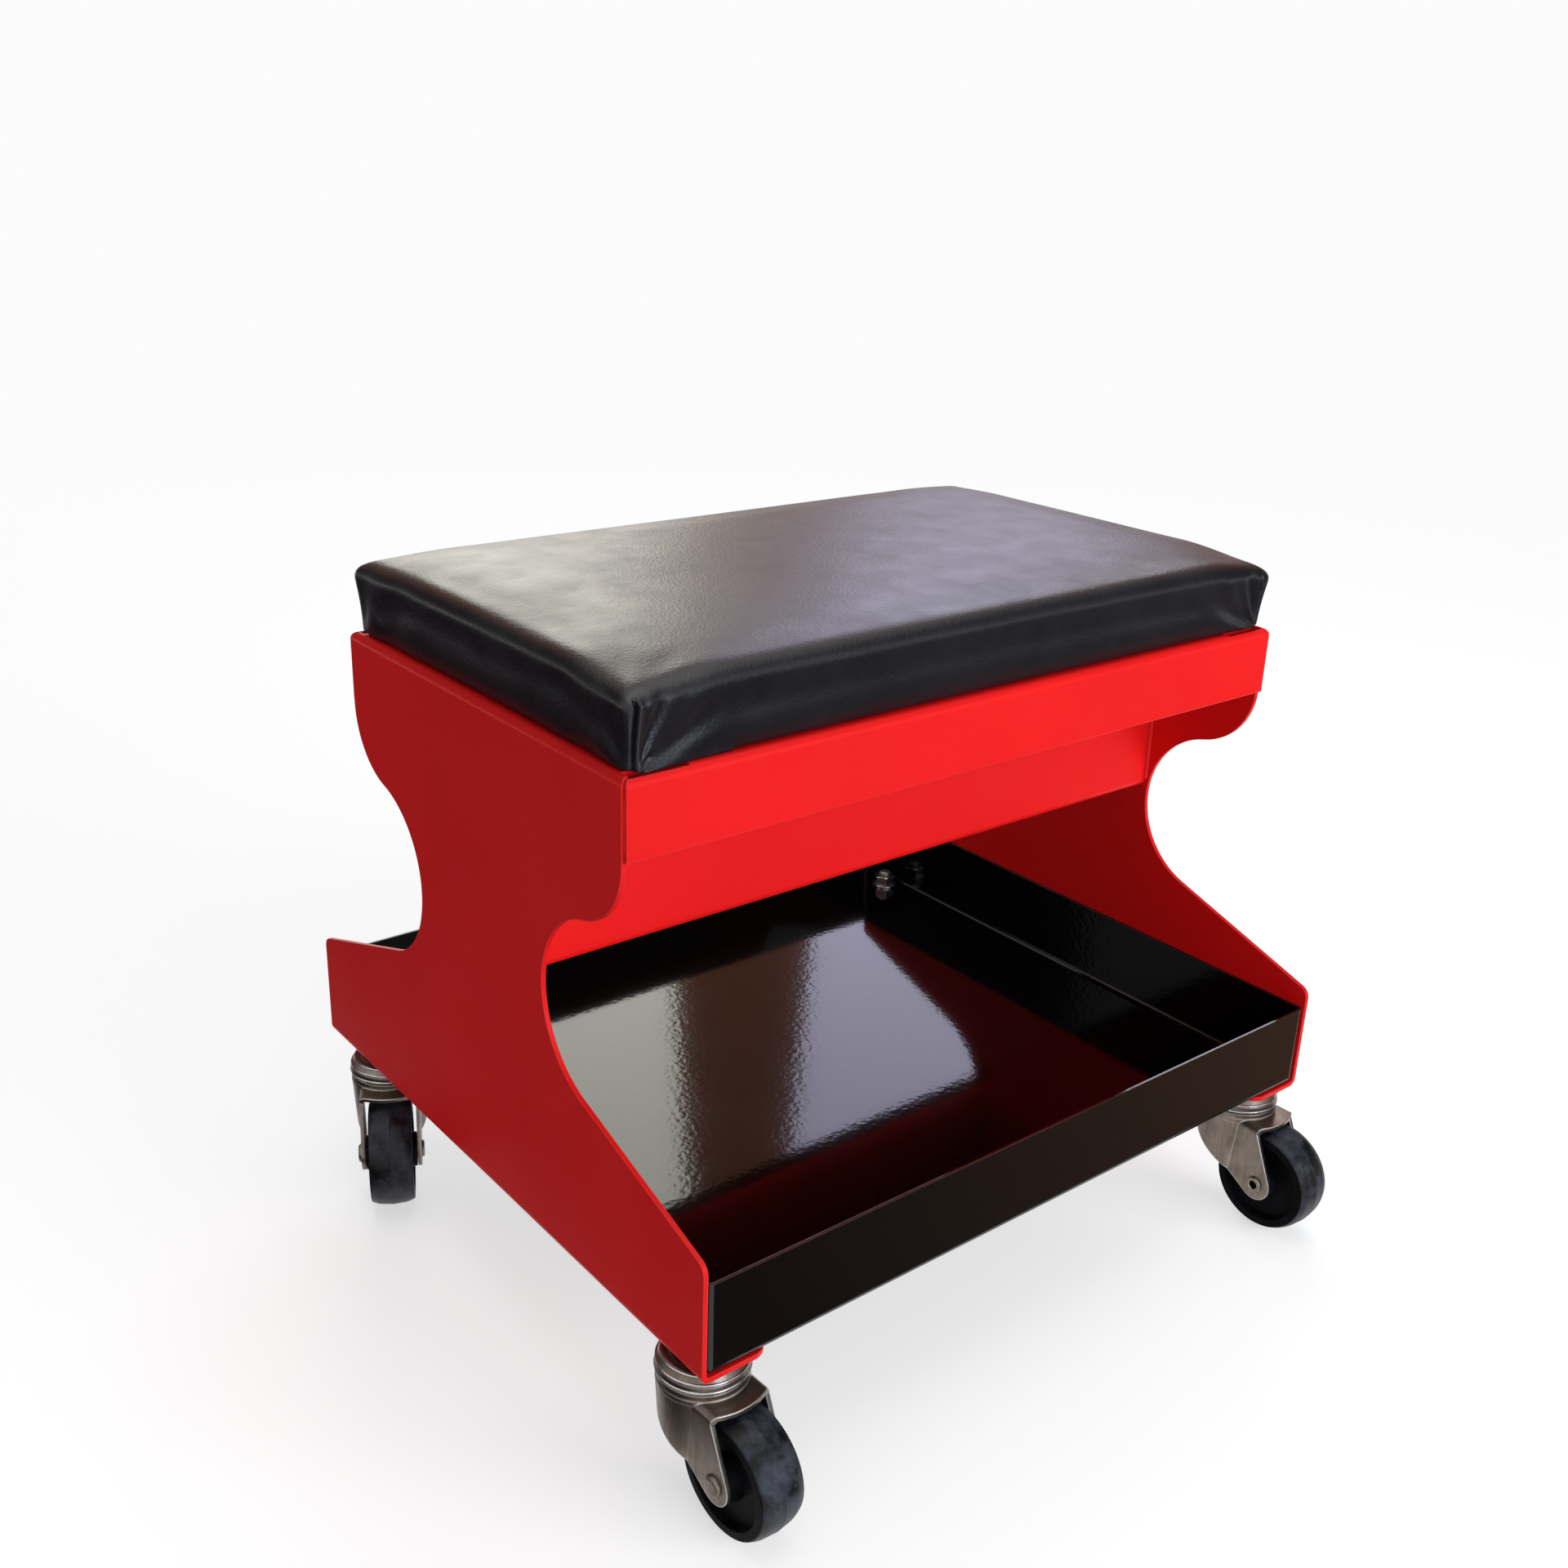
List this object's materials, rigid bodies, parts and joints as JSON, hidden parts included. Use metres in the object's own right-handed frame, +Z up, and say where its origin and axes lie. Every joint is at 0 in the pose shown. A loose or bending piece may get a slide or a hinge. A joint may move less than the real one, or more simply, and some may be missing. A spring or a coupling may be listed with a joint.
{
  "type": "creeper seat",
  "caption": "Low rolling workshop seat: padded vinyl top on two waisted red steel side panels, open black tool tray below, swivel casters at the corners.",
  "frame": {"origin": "on the floor, under the middle of the area that the seat covers with its wheels as they stand", "axes": "+Z up; +X along the seat's long side, from the left side panel to the right one; +Y from the front to the rear"},
  "size_m": [0.478, 0.4466, 0.4],
  "materials": {
    "red_paint": "gloss red powder coat on folded steel",
    "black_paint": "high gloss black powder coat with a light orange peel",
    "vinyl": "soft satin vinyl with a fine leather grain",
    "foam": "open-cell upholstery foam",
    "plywood": "bare birch plywood",
    "zinc": "bright zinc plate",
    "bright_steel": "polished steel",
    "black_rubber": "hard black rubber, satin, slightly scuffed"
  },
  "bodies": {
    "frame": {"left_side_panel": "red_paint", "right_side_panel": "red_paint", "front_apron": "red_paint", "rear_apron": "red_paint", "front_stretcher": "red_paint", "rear_stretcher": "red_paint", "tool_tray": "black_paint", "seat_board": "plywood", "seat_foam": "foam", "seat_cover": "vinyl", "cover_staples": "zinc", "seat_screws": "zinc", "seat_screw_washers": "zinc", "stem_washers": "zinc", "stem_nuts": "zinc", "front_left_stem": "zinc", "front_left_race": "zinc", "front_left_balls": "bright_steel", "front_left_keeper": "zinc", "front_right_stem": "zinc", "front_right_race": "zinc", "front_right_balls": "bright_steel", "front_right_keeper": "zinc", "rear_left_stem": "zinc", "rear_left_race": "zinc", "rear_left_balls": "bright_steel", "rear_left_keeper": "zinc", "rear_right_stem": "zinc", "rear_right_race": "zinc", "rear_right_balls": "bright_steel", "rear_right_keeper": "zinc"},
    "front_left_caster": {"front_left_fork": "zinc", "front_left_axle": "zinc", "front_left_sleeve": "zinc"},
    "front_left_roller": {"front_left_wheel": "black_rubber"},
    "front_right_caster": {"front_right_fork": "zinc", "front_right_axle": "zinc", "front_right_sleeve": "zinc"},
    "front_right_roller": {"front_right_wheel": "black_rubber"},
    "rear_left_caster": {"rear_left_fork": "zinc", "rear_left_axle": "zinc", "rear_left_sleeve": "zinc"},
    "rear_left_roller": {"rear_left_wheel": "black_rubber"},
    "rear_right_caster": {"rear_right_fork": "zinc", "rear_right_axle": "zinc", "rear_right_sleeve": "zinc"},
    "rear_right_roller": {"rear_right_wheel": "black_rubber"}
  },
  "joints": [
    {"name": "front_left_swivel", "type": "hinge", "parent": "frame", "child": "front_left_caster", "pos_m": [-0.201, -0.16134, 0.085], "axis": [0, 0, 1], "continuous": true},
    {"name": "front_left_roll", "type": "hinge", "parent": "front_left_caster", "child": "front_left_roller", "pos_m": [-0.19967, -0.19181, 0.0315], "axis": [0.999, 0.0436, 0], "continuous": true},
    {"name": "front_right_swivel", "type": "hinge", "parent": "frame", "child": "front_right_caster", "pos_m": [0.201, -0.16134, 0.085], "axis": [0, 0, 1], "continuous": true},
    {"name": "front_right_roll", "type": "hinge", "parent": "front_right_caster", "child": "front_right_roller", "pos_m": [0.2018, -0.19183, 0.0315], "axis": [0.9997, 0.0262, 0], "continuous": true},
    {"name": "rear_left_swivel", "type": "hinge", "parent": "frame", "child": "rear_left_caster", "pos_m": [-0.201, 0.16466, 0.085], "axis": [0, 0, 1], "continuous": true},
    {"name": "rear_left_roll", "type": "hinge", "parent": "rear_left_caster", "child": "rear_left_roller", "pos_m": [-0.21485, 0.13749, 0.0315], "axis": [0.891, -0.454, 0], "continuous": true},
    {"name": "rear_right_swivel", "type": "hinge", "parent": "frame", "child": "rear_right_caster", "pos_m": [0.201, 0.16466, 0.085], "axis": [0, 0, 1], "continuous": true},
    {"name": "rear_right_roll", "type": "hinge", "parent": "rear_right_caster", "child": "rear_right_roller", "pos_m": [0.21485, 0.19184, 0.0315], "axis": [-0.891, 0.454, 0], "continuous": true}
  ]
}
